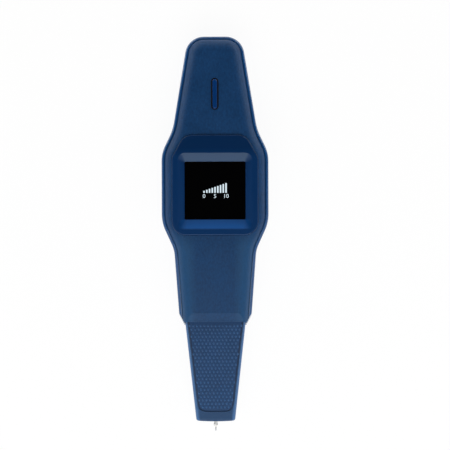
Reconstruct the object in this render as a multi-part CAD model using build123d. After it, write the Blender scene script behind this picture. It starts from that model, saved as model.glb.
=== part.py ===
from build123d import *
from math import acos, cos, radians, sin, sqrt, tan
import os

os.makedirs("parts", exist_ok=True)

# A hand-held diamond tester that lies on its back. X is across, Y runs from the probe (minus)
# to the head end (plus) and Z points away from the table. All sizes are in millimetres.

# Main housing seen from the front: full widths, and the runs between them. The widest part is
# as wide as the bezel and a strip of the cover on each side of it.
head_width = 23.8
neck_width = 37.25
body_side_strip = 4.68
waist_width = 36.36
collar_width = 32.2
head_run = 41.43
shoulder_run = 10.4
body_run = 30.8
hip_run = 11.96
tail_run = 28.8
collar_run = 4.2
head_corner_radius = 8.3
neck_radius = 24.7
shoulder_radius = 15.7
hip_radius = 18.0
waist_radius = 13.7

# Main housing seen from the side
crest_height = 20.0
crest_from_head = 66.0
front_radius = 480.0
back_radius = 500.0
back_flat_from_head = 50.0
back_edge_radius = 5.0

# Walls and seams of the main housing
rear_wall = 2.4
rear_floor = 1.6
rim_wall = 1.3
rim_below_front = 4.3
rim_edge_radius = 1.1
groove_width = 0.1
cover_overlap = 1.6
cover_wall = 1.7
cover_edge_radius = 5.4
seat_gap = 0.05
bulkhead_from_head = 113.0
corner_limit_share = 0.45

# Collar and the mouth that holds the nose
mouth_lip = 0.45
mouth_corner_radius = 2.6
mouth_rake_degrees = 10.0
mouth_depth = 1.85
nose_axis_height = 8.3
collar_side_slope_share = 0.524
collar_front_slope_share = 0.545
collar_corner_growth_share = 0.2
nose_clearance = 0.15

# Nose
nose_length = 43.2
nose_root_width = 26.6
nose_tip_width = 17.1
nose_root_height = 11.7
nose_tip_height = 8.4
nose_corner_radius = 1.9
nose_end_radius = 1.0
nose_end_bulge = 0.35
nose_side_wall = 2.0
nose_face_wall = 2.2
spigot_side_step = 1.8
spigot_face_step = 1.35
spigot_length = 11.8
spigot_wall = 1.4
spigot_corner_radius = 1.5
spigot_clearance = 0.2
board_rail_width = 1.2
board_rail_inset = 0.4
board_rail_length = 17.0

# Grip pads of the nose
pad_root_margin = 1.2
pad_foot_margin = 1.7
pad_end_margin = 4.8
pad_corner_radius = 3.6
pad_thickness = 0.75
pad_below_face = 0.15
pad_groove = 0.4

# Probe
needle_diameter = 0.6
needle_reach = 4.5
needle_point_length = 0.5
needle_buried_length = 12.0
ferrule_neck_diameter = 1.3
ferrule_bead_diameter = 1.8
ferrule_bead_reach = 1.7
ferrule_reach = 2.9
carrier_diameter = 3.0
carrier_length = 8.0
carrier_clearance = 0.1
probe_travel = 1.6
probe_rest_gap = 0.05
bush_diameter = 4.2
bush_length = 4.0
bush_recess = 0.1
retract_clearance = 0.2
spring_diameter = 2.8
spring_wire = 0.35
spring_pressed_length = 6.4
spring_turns = 7.0
sensor_diameter = 1.2
sensor_length = 1.6
stop_wall = 1.6

# Bezel, window and display
bezel_side_margin = 2.55
bezel_foot_margin = 2.5
bezel_brow_length = 7.9
bezel_brow_run = 10.0
bezel_brow_step = 5.45
bezel_brow_radius = 6.3
bezel_shoulder_radius = 4.4
bezel_foot_radius = 6.0
bezel_proud = 0.5
bezel_gap = 0.1
bezel_edge_radius = 0.45
bezel_flange_reach = 1.1
bezel_flange_thickness = 0.8
bevel_side_run = 2.95
bevel_head_run = 3.8
bevel_foot_run = 4.4
recess_corner_radius = 3.2
screen_opening = 26.9
screen_opening_length = 25.55
screen_corner_radius = 0.6
screen_from_head = 68.5
bevel_depth = 1.9
lip_thickness = 0.5
window_margin = 1.95
window_thickness = 1.0
window_clearance = 0.15
gasket_thickness = 0.3
gasket_width = 1.2
panel_side_margin = 2.35
panel_end_margin = 4.1
panel_thickness = 1.6
panel_clearance = 0.15
holder_wall = 1.0
holder_deck = 1.0
flex_width = 9.0
flex_thickness = 0.15
flex_bend_radius = 1.0
flex_tail = 3.4
flex_slot_height = 0.9
display_plug_width = 11.0
display_plug_length = 2.6
display_plug_height = 1.2

# Power key
key_from_head = 25.9
key_width = 2.0
key_length = 13.2
key_proud = 0.35
key_edge_radius = 0.45
key_flange_reach = 1.1
key_flange_thickness = 0.8
key_travel = 0.4
key_side_gap = 0.1
key_stem_width = 3.0
surround_side_wall = 0.7
surround_end_wall = 0.5
surround_sunk = 0.3
surround_clearance = 0.04
surround_flange_reach = 1.1
surround_flange_thickness = 0.7
surround_key_gap = 0.1
switch_width = 6.0
switch_height = 3.1
switch_plunger_diameter = 3.2
switch_plunger_height = 0.6
switch_plunger_clearance = 0.1
key_plunger_gap = 0.05

# Main board and what sits on it
battery_headroom = 1.15
board_thickness = 1.2
board_inset = 4.6
board_from_head = 1.2
board_length = 107.3
board_cutout_clearance = 0.3
post_diameter = 3.8
board_screw_shaft = 1.6
board_screw_head = 2.8
board_screw_head_height = 1.0
board_screw_length = 5.0
board_screw_inset = 6.2
board_screw_from_head_near = 46.0
board_screw_from_head_far = 91.6
chip_side = 7.0
chip_height = 0.9
chip_from_head = 40.0
coil_side = 4.0
coil_height = 1.8
buzzer_diameter = 12.0
buzzer_height = 2.6
buzzer_from_head = 44.0
buzzer_hole_diameter = 1.2
buzzer_hole_circle = 5.0
buzzer_hole_count = 6

# Battery
battery_width = 32.0
battery_length = 34.0
battery_thickness = 5.8
battery_edge_radius = 1.6
battery_from_head = 52.5
tape_thickness = 0.25
tape_share = 0.7
battery_plug_width = 6.0
battery_plug_length = 4.0
battery_plug_height = 2.4
battery_plug_x = -7.0
lead_diameter = 1.0
lead_spacing = 1.6

# Charging port
port_width = 8.94
port_height = 3.26
port_length = 7.3
port_wall = 0.3
port_corner_radius = 1.5
port_inset = 0.4
port_clearance = 0.3
port_floor = 1.2
tongue_width = 6.69
tongue_thickness = 0.7
tongue_length = 5.2

# Touch plate on the back and its contact pin
plate_width = 8.0
plate_length = 14.0
plate_thickness = 0.6
plate_sunk = 0.15
plate_clearance = 0.1
plate_from_head = 106.5
plate_boss_diameter = 3.0
pin_from_head = 101.8
pin_barrel_diameter = 2.2
pin_tip_diameter = 1.2
pin_tip_length = 1.0

# Rubber feet on the back
foot_diameter = 6.0
foot_proud = 0.4
foot_seat_depth = 0.6
foot_clearance = 0.1
foot_edge_radius = 0.2
foot_side_inset_near = 9.6
foot_side_inset_far = 8.0
foot_from_head_near = 56.0
foot_from_head_far = 118.0

# Case screws
case_screw_shaft = 2.0
case_screw_head = 3.8
case_screw_head_height = 1.4
case_screw_seat_height = 3.4
case_screw_length = 9.6
case_screw_head_inset = 3.9
case_screw_tail_inset = 5.3
case_screw_from_head_near = 12.0
case_screw_from_head_far = 97.0
head_recess_clearance = 0.2
shaft_clearance = 0.15
thread_clearance = 0.02
rear_boss_diameter = 6.0
front_boss_diameter = 4.6
boss_gap = 0.1
drive_width_share = 0.62
drive_slot_share = 0.16
drive_depth_share = 0.5

# Socket for the plug-in nose and the board inside the nose
socket_side_wall = 2.0
socket_length = 7.5
socket_height = 3.9
socket_gap = 0.1
socket_bulkhead_gap = 1.0
probe_board_thickness = 0.8
probe_board_side_gap = 1.4
probe_board_below_axis = 1.1
probe_board_length = 27.5
tongue_board_width = 12.0
tongue_board_length = 6.5
contact_width = 0.8
contact_height = 0.12
contact_count = 6
contact_spacing = 1.6
contact_length = 4.0

# Screws that join the two halves of the nose, under the rear pad
nose_screw_shaft = 1.4
nose_screw_head = 2.8
nose_screw_head_height = 1.2
nose_screw_length = 5.0
nose_screw_x = 5.2
nose_screw_from_mouth = 27.0

# How far every cut runs past what it cuts
overrun = 1.0

# Places along the length, measured from the head end
neck_station = head_run
shoulder_station = neck_station + shoulder_run
hip_station = shoulder_station + body_run
waist_station = hip_station + hip_run
collar_station = waist_station + tail_run
mouth_station = collar_station + collar_run
nose_end_station = mouth_station + nose_length
total_length = nose_end_station + needle_reach

# Widths and lengths that follow from what they hold
mouth_width = nose_root_width + 2 * (nose_clearance + mouth_lip)
mouth_height = nose_root_height + 2 * (nose_clearance + mouth_lip)
spigot_width = nose_root_width - 2 * spigot_side_step
spigot_height = nose_root_height - 2 * spigot_face_step
probe_board_width = spigot_width - 2 * (spigot_wall + probe_board_side_gap)
socket_width = tongue_board_width + 2 * socket_side_wall
pad_root_width = nose_root_width - 2 * pad_root_margin
pad_foot_share = (nose_length - pad_end_margin) / nose_length
nose_foot_width = nose_root_width - (nose_root_width - nose_tip_width) * pad_foot_share
pad_foot_width = nose_foot_width - 2 * pad_foot_margin
recess_width = screen_opening + 2 * bevel_side_run
recess_length = screen_opening_length + bevel_head_run + bevel_foot_run
recess_from_head = screen_from_head + (bevel_foot_run - bevel_head_run) / 2
bezel_width = recess_width + 2 * bezel_side_margin
bezel_brow_width = bezel_width - 2 * bezel_brow_step
body_width = bezel_width + 2 * body_side_strip
bezel_from_head = recess_from_head - recess_length / 2 - bezel_brow_length
bezel_foot_from_head = recess_from_head + recess_length / 2 + bezel_foot_margin
window_width = screen_opening + 2 * window_margin
window_length = screen_opening_length + 2 * window_margin
panel_width = screen_opening + 2 * panel_side_margin
panel_length = screen_opening_length + 2 * panel_end_margin
key_flange_width = key_width + 2 * key_flange_reach
key_flange_length = key_length + 2 * key_flange_reach
surround_width = key_width + 2 * surround_side_wall
surround_length = key_length + 2 * surround_end_wall
surround_flange_width = surround_width + 2 * surround_flange_reach
surround_flange_length = surround_length + 2 * surround_flange_reach
case_screw_x_head = head_width / 2 - case_screw_head_inset
case_screw_x_tail = waist_width / 2 - case_screw_tail_inset
board_screw_x_near = neck_width / 2 - board_screw_inset
board_screw_x_far = waist_width / 2 - board_screw_inset
foot_x_near = body_width / 2 - foot_side_inset_near
foot_x_far = collar_width / 2 - foot_side_inset_far

# Heights of the display stack, from the top down, and of the board over the battery
floor_top = foot_proud + rear_floor
board_underside = floor_top + tape_thickness + battery_thickness + battery_headroom
bezel_top = crest_height + bezel_proud
lip_top = bezel_top - bevel_depth
window_top = lip_top - lip_thickness
window_bottom = window_top - window_thickness
panel_top = window_bottom - gasket_thickness
panel_bottom = panel_top - panel_thickness
board_top = board_underside + board_thickness
ledge_below_front = rim_below_front + cover_overlap
cover_outer_inset = rim_wall + groove_width
cover_inner_inset = cover_outer_inset + cover_wall


def at(station):
    """Y of a place measured from the head end."""
    return total_length / 2 - station


def block(width, length, low, high, x=0, y=0):
    """Upright block centred on (x, y), between two heights."""
    return Pos(x, y, (low + high) / 2) * Box(width, length, high - low)


def rod(diameter, low, high, x=0, y=0):
    """Upright round rod centred on (x, y), between two heights."""
    return Pos(x, y, (low + high) / 2) * Cylinder(diameter / 2, high - low)


def long_rod(diameter, near, far, x=0, z=0):
    """Round rod along the length, between two stations."""
    return Pos(x, at((near + far) / 2), z) * Rot(90, 0, 0) * Cylinder(diameter / 2, far - near)


def prism(face, low, high):
    """Straight solid with the outline of a flat face, between two heights."""
    return extrude(Pos(0, 0, low) * face, amount=high - low, dir=(0, 0, 1))


def stadium(width, length, x=0, y=0):
    """Flat face with two straight sides along Y and round ends."""
    return Pos(x, y, 0) * Rot(0, 0, 90) * SlotOverall(length, width)


def outline_face(corners, radii, inset=0):
    """Flat face inside a closed outline, drawn in by an inset, with its corners rounded.

    The corners run anticlockwise. A corner that points outwards loses the inset from its
    radius and one that points inwards gains it, so the wall between two insets is even.
    """
    count = len(corners)
    moved = []
    turns = []
    for index in range(count):
        before = Vector(*corners[index - 1])
        here = Vector(*corners[index])
        after = Vector(*corners[(index + 1) % count])
        arriving = (here - before).normalized()
        leaving = (after - here).normalized()
        inward = Vector(-arriving.Y - leaving.Y, arriving.X + leaving.X)
        moved.append(here + inward * (inset / (1 + arriving.dot(leaving))))
        turns.append(arriving.cross(leaving).Z)
    edges = []
    last_end = None
    first_start = None
    for index in range(count):
        here = moved[index]
        to_before = moved[index - 1] - here
        to_after = moved[(index + 1) % count] - here
        half_angle = acos(to_before.normalized().dot(to_after.normalized())) / 2
        wanted = radii[index] - inset if turns[index] > 0 else radii[index] + inset
        longest = min(to_before.length, to_after.length) * corner_limit_share
        radius = min(wanted, longest * tan(half_angle)) if radii[index] > 0 else 0
        if radius > 0:
            reach = radius / tan(half_angle)
            start = here + to_before.normalized() * reach
            end = here + to_after.normalized() * reach
            bisector = (to_before.normalized() + to_after.normalized()).normalized()
            middle = here + bisector * (radius / sin(half_angle) - radius)
            arc = Edge.make_three_point_arc(start, middle, end)
        else:
            start = here
            end = here
            arc = None
        if last_end is not None:
            edges.append(Edge.make_line(last_end, start))
        else:
            first_start = start
        if arc is not None:
            edges.append(arc)
        last_end = end
    edges.append(Edge.make_line(last_end, first_start))
    return Face(Wire(edges))


def both_sides(right_corners):
    """Closed outline from the corners of its right half, listed from the tail to the head."""
    left_corners = [(-x, y) for x, y in reversed(right_corners)]
    return right_corners + left_corners


def across(face):
    """Solid that runs across the whole width, with a face given in Y and Z."""
    return extrude(Plane.YZ * face, amount=body_width, both=True)


# Main housing: its outline, its curved front and back, and blocks cut from them
tail_overrun = 3 * overrun
tail_taper = (waist_width - collar_width) / tail_run
tail_end_half_width = (collar_width - tail_taper * (collar_run + tail_overrun)) / 2
tail_end_y = at(mouth_station + tail_overrun)
front_low_y = -total_length / 2 - overrun
front_high_y = total_length / 2 + overrun

housing_corners = both_sides([
    (tail_end_half_width, tail_end_y),
    (waist_width / 2, at(waist_station)),
    (body_width / 2, at(hip_station)),
    (body_width / 2, at(shoulder_station)),
    (neck_width / 2, at(neck_station)),
    (head_width / 2, at(0)),
])
housing_radii = [0, waist_radius, hip_radius, shoulder_radius, neck_radius, head_corner_radius]
housing_radii = housing_radii + housing_radii[::-1]


def front_height(y, drop=0):
    """Height of the curved front, lowered by a drop."""
    run = y - at(crest_from_head)
    return crest_height - front_radius + sqrt((front_radius - drop) ** 2 - run**2)


def back_height(y, rise=0):
    """Height of the back: flat at first, then curving up towards the head end."""
    run = max(y - at(back_flat_from_head), 0)
    return back_radius - sqrt((back_radius - rise) ** 2 - run**2)


def front_arc(drop, low_y=front_low_y, high_y=front_high_y):
    """The front curve as an edge from the tail to the head, in Y and Z."""
    points = [(y, front_height(y, drop)) for y in (low_y, (low_y + high_y) / 2, high_y)]
    return Edge.make_three_point_arc(*points)


def line_through(points):
    """Straight edges from point to point."""
    return [Edge.make_line(points[i], points[i + 1]) for i in range(len(points) - 1)]


def front_slab(upper_drop, lower_drop):
    """Everything between two copies of the front curve."""
    upper = front_arc(upper_drop)
    lower = front_arc(lower_drop)
    ends = [Edge.make_line(upper @ 0, lower @ 0), Edge.make_line(upper @ 1, lower @ 1)]
    return across(Face(Wire([upper, lower] + ends)))


def housing_block(inset=0, drop=0, rise=0):
    """The housing's shape drawn in from its sides, its front and its back."""
    low_y = tail_end_y
    high_y = front_high_y
    flat_y = at(back_flat_from_head)
    bend_y = (flat_y + high_y) / 2
    top = front_arc(drop, low_y, high_y)
    bend_points = [(y, back_height(y, rise)) for y in (flat_y, bend_y, high_y)]
    bend = Edge.make_three_point_arc(*bend_points)
    flat = Edge.make_line((low_y, rise), (flat_y, rise))
    ends = [Edge.make_line(top @ 0, flat @ 0), Edge.make_line(top @ 1, bend @ 1)]
    side = across(Face(Wire([top, bend, flat] + ends)))
    plan = outline_face(housing_corners, housing_radii, inset)
    return prism(plan, -overrun, crest_height + overrun) & side


def border(solid, low, high):
    """Edges round the top or bottom of a housing block, apart from its open tail."""
    flat_y = at(back_flat_from_head)
    chosen = []
    for edge in solid.edges():
        box = edge.bounding_box()
        inside = box.min.Z > low and box.max.Z < high
        at_tail = box.max.Y < tail_end_y + overrun / 2
        at_bend = box.size.Y < overrun / 2 and abs(edge.center().Y - flat_y) < overrun / 2
        if inside and not at_tail and not at_bend:
            chosen.append(edge)
    return chosen


def round_top(solid, radius):
    return fillet(border(solid, crest_height / 2 - overrun, crest_height + overrun), radius)


def round_bottom(solid, radius):
    return fillet(border(solid, -overrun, back_edge_radius), radius)


def collar_form():
    """The tapering end of the housing: a cone with four faces, cut off at the raked mouth."""
    rake = radians(mouth_rake_degrees)
    reach = mouth_station + overrun
    sections = []
    for distance in (0, reach):
        plane = Plane(
            origin=(0, at(mouth_station) + distance, nose_axis_height),
            x_dir=(1, 0, 0),
            z_dir=(0, -cos(rake), sin(rake)),
        )
        width = mouth_width + 2 * collar_side_slope_share * distance
        height = mouth_height / cos(rake) + 2 * collar_front_slope_share * distance
        radius = mouth_corner_radius + collar_corner_growth_share * distance
        sections.append(plane * RectangleRounded(width, height, radius))
    return loft(sections, ruled=True)


def cross_plane(station, height=nose_axis_height):
    """Upright plane across the object at a station, facing the probe."""
    return Plane(origin=(0, at(station), height), x_dir=(1, 0, 0), z_dir=(0, -1, 0))


def section_bar(width, height, radius, near, far):
    """Bar along the length with a rounded section about the nose axis, between two stations."""
    return extrude(cross_plane(near) * RectangleRounded(width, height, radius), amount=far - near)


collar = collar_form()
mouth_floor_station = mouth_station - mouth_depth
mouth_hole = section_bar(
    nose_root_width + 2 * nose_clearance,
    nose_root_height + 2 * nose_clearance,
    nose_corner_radius + nose_clearance,
    mouth_floor_station,
    mouth_station + tail_overrun,
)
spigot_hole = section_bar(
    spigot_width + 2 * spigot_clearance,
    spigot_height + 2 * spigot_clearance,
    spigot_corner_radius + spigot_clearance,
    bulkhead_from_head - overrun,
    mouth_station,
)
inside_only = block(
    body_width + overrun,
    bulkhead_from_head + overrun,
    -overrun,
    crest_height + overrun,
    0,
    at((bulkhead_from_head - overrun) / 2),
)

case_screw_places = [
    (side * x, at(station))
    for side in (-1, 1)
    for x, station in (
        (case_screw_x_head, case_screw_from_head_near),
        (case_screw_x_tail, case_screw_from_head_far),
    )
]
board_screw_places = [
    (side * x, at(station))
    for side in (-1, 1)
    for x, station in (
        (board_screw_x_near, board_screw_from_head_near),
        (board_screw_x_far, board_screw_from_head_far),
    )
]
foot_places = [
    (side * x, at(station))
    for side in (-1, 1)
    for x, station in ((foot_x_near, foot_from_head_near), (foot_x_far, foot_from_head_far))
]
foot_seat_height = foot_proud + foot_seat_depth
screw_top = case_screw_seat_height + case_screw_length
rear_boss_top = board_underside - boss_gap
front_boss_bottom = rear_boss_top + boss_gap
port_height_centre = board_underside - port_height / 2
plate_low = foot_proud + plate_sunk
plate_high = plate_low + plate_thickness


def port_block(grow, near, far):
    """Bar along the charging port, grown all round."""
    face = RectangleRounded(port_width + 2 * grow, port_height + 2 * grow, port_corner_radius + grow)
    return extrude(cross_plane(near, port_height_centre) * face, amount=far - near)


def make_rear_shell():
    """Tub with a raised rim, a ledge for the front cover, bosses, posts and openings."""
    outer = round_bottom(housing_block(0, rim_below_front, foot_proud), back_edge_radius)
    outer = round_top(outer, rim_edge_radius)
    inner = round_bottom(housing_block(rear_wall, 0, floor_top), back_edge_radius - rear_wall)
    rim_space = housing_block(rim_wall) & front_slab(-overrun, ledge_below_front)
    shell = outer - (inner & inside_only) - rim_space
    for x, y in case_screw_places:
        shell = shell + (rod(rear_boss_diameter, 0, rear_boss_top, x, y) & outer)
    for x, y in board_screw_places:
        shell = shell + (rod(post_diameter, floor_top / 2, board_underside, x, y) & outer)
    for x, y in case_screw_places:
        recess = case_screw_head + 2 * head_recess_clearance
        shell = shell - rod(recess, -overrun, case_screw_seat_height, x, y)
        shell = shell - rod(case_screw_shaft + 2 * shaft_clearance, 0, crest_height, x, y)
    for x, y in board_screw_places:
        bore_bottom = board_top - board_screw_length - overrun
        shell = shell - rod(board_screw_shaft + 2 * thread_clearance, bore_bottom, crest_height, x, y)
    for x, y in foot_places:
        shell = shell - rod(foot_diameter + 2 * foot_clearance, -overrun, foot_seat_height, x, y)
    shell = shell - port_block(port_clearance, -overrun, rear_wall + overrun)
    plate_hole = stadium(plate_width + 2 * plate_clearance, plate_length + 2 * plate_clearance)
    plate_face = Pos(0, at(plate_from_head), 0) * plate_hole
    shell = shell - prism(plate_face, -overrun, plate_high)
    boss_hole = plate_boss_diameter + 2 * plate_clearance
    shell = shell - rod(boss_hole, 0, floor_top + overrun, 0, at(pin_from_head))
    sound_hole = rod(buzzer_hole_diameter, -overrun, floor_top + overrun)
    sound_centre = Pos(0, at(buzzer_from_head), 0)
    shell = shell - sound_centre * sound_hole
    for location in PolarLocations(buzzer_hole_circle / 2, buzzer_hole_count):
        shell = shell - sound_centre * location * sound_hole
    return (shell - mouth_hole - spigot_hole) & collar


def bezel_outline(grow=0):
    """Bezel seen from the front: a raised brow, straight sides and a round foot."""
    corners = both_sides([
        (bezel_width / 2, at(bezel_foot_from_head)),
        (bezel_width / 2, at(bezel_from_head + bezel_brow_run)),
        (bezel_brow_width / 2, at(bezel_from_head)),
    ])
    radii = [bezel_foot_radius, bezel_shoulder_radius, bezel_brow_radius]
    return outline_face(corners, radii + radii[::-1], -grow)


def key_stadium(width, length):
    return stadium(width, length, 0, at(key_from_head))


def make_front_cover():
    """Domed cover with a soft edge, its skirt standing on the ledge of the rear shell."""
    outer = round_top(housing_block(cover_outer_inset), cover_edge_radius)
    outer = outer & front_slab(-overrun, ledge_below_front - seat_gap)
    inner = housing_block(cover_inner_inset, cover_wall)
    inner = round_top(inner, cover_edge_radius - cover_wall)
    cover = outer - (inner & inside_only)
    for x, y in case_screw_places:
        boss = rod(front_boss_diameter, front_boss_bottom, crest_height, x, y)
        cover = cover + (boss & front_slab(cover_wall / 2, crest_height) & outer)
    for x, y in case_screw_places:
        bore = case_screw_shaft + 2 * thread_clearance
        cover = cover - rod(bore, 0, screw_top + shaft_clearance, x, y)
    cover = cover - prism(bezel_outline(bezel_gap), panel_bottom, crest_height + overrun)
    key_hole = key_stadium(surround_width, surround_length)
    cover = cover - prism(key_hole, board_top, crest_height + overrun)
    return (cover - mouth_hole - spigot_hole) & collar


def make_bezel():
    """Glossy frame that stands a little proud, with four sloping faces down to the window."""
    frame_bottom = cover_wall + seat_gap + bezel_flange_thickness
    column = prism(bezel_outline(), panel_bottom, bezel_top)
    top_edges = column.edges().filter_by(lambda edge: edge.center().Z > bezel_top - seat_gap)
    column = fillet(top_edges, bezel_edge_radius)
    column = column & front_slab(-2 * overrun, frame_bottom)
    flange = prism(bezel_outline(bezel_flange_reach), panel_bottom, bezel_top)
    flange = flange & front_slab(cover_wall + seat_gap, frame_bottom)
    room = housing_block(cover_inner_inset + bezel_gap, cover_wall + seat_gap)
    room = round_top(room, cover_edge_radius - cover_wall)
    bezel = column + (flange & room)
    centre = Pos(0, at(screen_from_head), 0)
    low_face = RectangleRounded(screen_opening, screen_opening_length, screen_corner_radius)
    high_face = RectangleRounded(recess_width, recess_length, recess_corner_radius)
    high_centre = Pos(0, at(recess_from_head), bezel_top)
    recess_faces = [centre * Pos(0, 0, lip_top) * low_face, high_centre * high_face]
    recess = loft(recess_faces, ruled=True)
    opening = prism(centre * low_face, panel_bottom, bezel_top)
    pocket = block(
        window_width + 2 * window_clearance,
        window_length + 2 * window_clearance,
        panel_bottom,
        window_top,
        0,
        at(screen_from_head),
    )
    return bezel - recess - opening - pocket


def make_display():
    """Window, gasket, panel and the holder that carries them on the board."""
    y = at(screen_from_head)
    window = block(window_width, window_length, window_bottom, window_top, 0, y)
    gasket = block(window_width, window_length, panel_top, window_bottom, 0, y) - block(
        window_width - 2 * gasket_width, window_length - 2 * gasket_width, panel_bottom, window_top, 0, y
    )
    panel = block(panel_width, panel_length, panel_bottom, panel_top, 0, y)
    tray_width = panel_width + 2 * panel_clearance
    tray_length = panel_length + 2 * panel_clearance
    holder_top = panel_top - 2 * panel_clearance
    outer_width = tray_width + 2 * holder_wall
    outer_length = tray_length + 2 * holder_wall
    holder = block(outer_width, outer_length, board_top, holder_top, 0, y)
    holder = holder - block(tray_width, tray_length, panel_bottom, crest_height, 0, y)
    under = panel_bottom - holder_deck
    holder = holder - block(tray_width, tray_length, board_top - overrun, under, 0, y)
    slot_y = y - tray_length / 2 - holder_wall / 2
    slot_width = flex_width + holder_wall
    holder = holder - block(slot_width, holder_wall + overrun, panel_bottom, crest_height, 0, slot_y)
    return window, gasket, panel, holder


def make_flex():
    """Ribbon from the panel over the holder's end and down to its plug on the board."""
    start_y = at(screen_from_head) - panel_length / 2
    start_z = panel_bottom + flex_slot_height / 2
    plug_top = board_top + display_plug_height
    bend_y = start_y - flex_tail
    foot_z = plug_top + flex_thickness / 2
    path = FilletPolyline(
        (0, start_y, start_z),
        (0, bend_y, start_z),
        (0, bend_y, foot_z),
        (0, bend_y - flex_tail, foot_z),
        radius=flex_bend_radius,
    )
    start = Plane(origin=(0, start_y, start_z), x_dir=(1, 0, 0), z_dir=(0, -1, 0))
    ribbon = sweep(start * Rectangle(flex_width, flex_thickness), path=path)
    plug_y = bend_y - flex_tail + display_plug_length / 2
    plug = block(display_plug_width, display_plug_length, board_top, plug_top, 0, plug_y)
    return ribbon, plug


def make_key():
    """Power key, its black surround, and the switch below it."""
    y = at(key_from_head)
    flange_top = cover_wall + surround_flange_thickness + surround_key_gap
    flange_bottom = flange_top + key_flange_thickness
    tall = (board_top, crest_height + overrun)
    key = prism(key_stadium(key_width, key_length), *tall) & front_slab(-key_proud, flange_bottom)
    key = fillet(key.faces().sort_by(Axis.Z)[-1].edges(), key_edge_radius)
    wide = prism(key_stadium(key_flange_width, key_flange_length), *tall)
    key = key + (wide & front_slab(flange_top, flange_bottom))
    plunger_top = board_top + switch_height + switch_plunger_height
    stem = block(key_stem_width, key_stem_width, plunger_top + key_plunger_gap, crest_height, 0, y)
    key = key + (stem & front_slab(flange_top, crest_height))
    hole = prism(key_stadium(key_width + 2 * key_side_gap, key_length + 2 * key_side_gap), *tall)
    fit = 2 * surround_clearance
    ring = prism(key_stadium(surround_width - fit, surround_length - fit), *tall)
    ring = ring & front_slab(surround_sunk, cover_wall + surround_flange_thickness)
    lip = prism(key_stadium(surround_flange_width, surround_flange_length), *tall)
    lip = lip & front_slab(cover_wall + surround_clearance, cover_wall + surround_flange_thickness)
    surround = ring + lip - hole
    body = block(switch_width, switch_width, board_top, board_top + switch_height, 0, y)
    plunger_bottom = board_top + switch_height - key_travel - surround_key_gap
    well = rod(
        switch_plunger_diameter + 2 * switch_plunger_clearance,
        plunger_bottom - key_travel - surround_key_gap,
        crest_height,
        0,
        y,
    )
    body = body - well
    plunger = rod(switch_plunger_diameter, plunger_bottom, plunger_top, 0, y)
    return key, surround, body, plunger


def make_board():
    """Main board: the housing's outline drawn in, with notches for bosses and screw holes."""
    plan = outline_face(housing_corners, housing_radii, board_inset)
    board = prism(plan, board_underside, board_top)
    window = block(
        body_width,
        board_length,
        board_underside - overrun,
        board_top + overrun,
        0,
        at(board_from_head + board_length / 2),
    )
    board = board & window
    for x, y in case_screw_places:
        notch = front_boss_diameter + 2 * board_cutout_clearance
        board = board - rod(notch, 0, crest_height, x, y)
    for x, y in board_screw_places:
        board = board - rod(board_screw_shaft + 2 * shaft_clearance, 0, crest_height, x, y)
    return board


def make_chips():
    """Parts soldered to the top of the board."""
    chip_y = at(chip_from_head)
    beside = chip_side + coil_side
    chip_top = board_top + chip_height
    far_y = at(board_screw_from_head_far + chip_side)
    parts = [
        block(chip_side, chip_side, board_top, chip_top, 0, chip_y),
        block(coil_side, coil_side, board_top, board_top + coil_height, -beside, chip_y),
        block(coil_side, chip_side, board_top, chip_top, beside, chip_y),
        block(chip_side, coil_side, board_top, chip_top, 0, far_y),
    ]
    return Compound(children=parts)


def make_battery():
    """Pouch cell on an adhesive pad, with its plug and leads."""
    y = at(battery_from_head + battery_length / 2)
    low = floor_top + tape_thickness
    cell = block(battery_width, battery_length, low, low + battery_thickness, 0, y)
    cell = fillet(cell.edges().filter_by(Axis.Y), battery_edge_radius)
    tape = block(battery_width * tape_share, battery_length * tape_share, floor_top, low, 0, y)
    end_y = y - battery_length / 2
    plug_y = at(board_screw_from_head_far) - battery_plug_length / 2
    plug_low = board_underside - battery_plug_height
    plug = block(battery_plug_width, battery_plug_length, plug_low, board_underside, battery_plug_x, plug_y)
    lead_z = (plug_low + board_underside) / 2
    lead_length = end_y - plug_y - battery_plug_length / 2
    leads = []
    for side in (-1, 1):
        lead_x = battery_plug_x + side * lead_spacing / 2
        wire = Rot(90, 0, 0) * Cylinder(lead_diameter / 2, lead_length)
        leads.append(Pos(lead_x, end_y - lead_length / 2, lead_z) * wire)
    return cell, tape, plug, Compound(children=leads)


def make_buzzer():
    disc = rod(buzzer_diameter, board_underside - buzzer_height, board_underside, 0, at(buzzer_from_head))
    return disc - rod(buzzer_hole_diameter, 0, board_underside - buzzer_height / 2, 0, at(buzzer_from_head))


def make_port():
    """Metal shell and inner tongue of the charging port, under the board at the head end."""
    far = port_inset + port_length
    shell = port_block(0, port_inset, far) - port_block(-port_wall, port_inset - overrun, far - port_floor)
    tongue_far = far - port_floor
    tongue_near = tongue_far - tongue_length
    tongue = block(
        tongue_width,
        tongue_length,
        port_height_centre - tongue_thickness / 2,
        port_height_centre + tongue_thickness / 2,
        0,
        at((tongue_near + tongue_far) / 2),
    )
    return shell, tongue


def make_touch_contact():
    """Stainless touch plate on the back and the sprung pin between it and the board."""
    face = stadium(plate_width, plate_length, 0, at(plate_from_head))
    y = at(pin_from_head)
    plate = prism(face, plate_low, plate_high) + rod(plate_boss_diameter, plate_low, floor_top, 0, y)
    shoulder = floor_top + pin_tip_length
    pin = rod(pin_tip_diameter, floor_top, shoulder, 0, y)
    pin = pin + rod(pin_barrel_diameter, shoulder, board_underside, 0, y)
    return plate, pin


def screw(shaft, head, head_height, length):
    """Round-headed screw with a cross drive, its head's seat at height zero, pointing up."""
    body = rod(shaft, 0, length) + rod(head, -head_height, 0)
    depth = head_height * drive_depth_share
    for turn in (0, 90):
        slot_size = (head * drive_width_share, head * drive_slot_share)
        slot = block(*slot_size, -head_height - overrun, depth - head_height)
        body = body - Rot(0, 0, turn) * slot
    return body


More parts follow.
